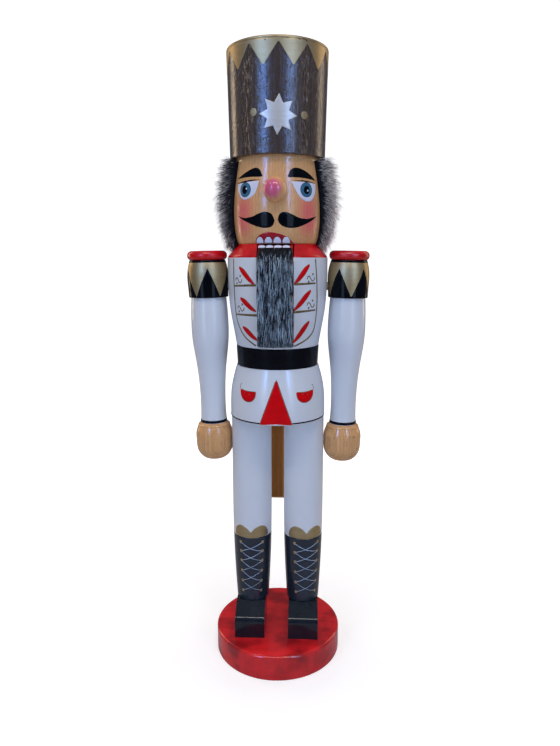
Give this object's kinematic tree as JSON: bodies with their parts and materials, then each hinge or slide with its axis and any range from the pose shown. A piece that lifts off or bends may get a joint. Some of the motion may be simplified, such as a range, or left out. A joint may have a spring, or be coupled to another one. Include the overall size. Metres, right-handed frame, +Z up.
{
  "type": "nutcracker figure",
  "caption": "Free-standing turned-wood nutcracker soldier on a round base, with a lever behind the legs that opens its jaw.",
  "frame": {"origin": "middle of the round base's underside, on the floor", "axes": "+Z up along the figure, which faces -Y; +X is on the right of someone who looks at its face"},
  "size_m": [0.274, 0.2, 0.914],
  "materials": {
    "red_paint": "gloss enamel on wood",
    "black_paint": "gloss enamel on wood",
    "white_lacquer": "gloss lacquer on wood",
    "gold_paint": "metallic gold paint on wood",
    "clear_wood": "clear lacquered hardwood",
    "pink_paint": "gloss enamel on wood",
    "dark_stain": "dark stained wood under gloss lacquer",
    "brown_stain": "brown stained wood",
    "raw_dowel": "bare beech",
    "steel": "zinc plated",
    "fur": "long-haired fur strip, dark roots and grey tips"
  },
  "bodies": {
    "figure": {"base_disc": "red_paint", "leg_screws": "steel", "toe_screws": "steel", "left_foot": "black_paint", "right_foot": "black_paint", "left_leg": "white_lacquer", "right_leg": "white_lacquer", "hip_dowels": "raw_dowel", "skirt_block": "white_lacquer", "waist_dowel": "raw_dowel", "belt_block": "black_paint", "torso": "white_lacquer", "jaw_pin": "steel", "collar": "red_paint", "neck_dowels": "raw_dowel", "head": "clear_wood", "nose": "pink_paint", "hair": "fur", "hat": "dark_stain", "hat_dowel": "raw_dowel", "shoulder_dowels": "raw_dowel", "sleeve_dowels": "raw_dowel", "wrist_dowels": "raw_dowel", "left_shoulder_cuff": "gold_paint", "left_shoulder_cap": "red_paint", "left_arm": "white_lacquer", "left_fist": "clear_wood", "right_shoulder_cuff": "gold_paint", "right_shoulder_cap": "red_paint", "right_arm": "white_lacquer", "right_fist": "clear_wood"},
    "jaw": {"jaw_block": "red_paint", "jaw_lever": "brown_stain", "lever_screws": "steel", "beard": "fur"}
  },
  "joints": [
    {"name": "jaw_hinge", "type": "hinge", "parent": "figure", "child": "jaw", "pos_m": [0, 0.005, 0.61], "axis": [1, 0, 0], "range_deg": [0, 18]}
  ]
}
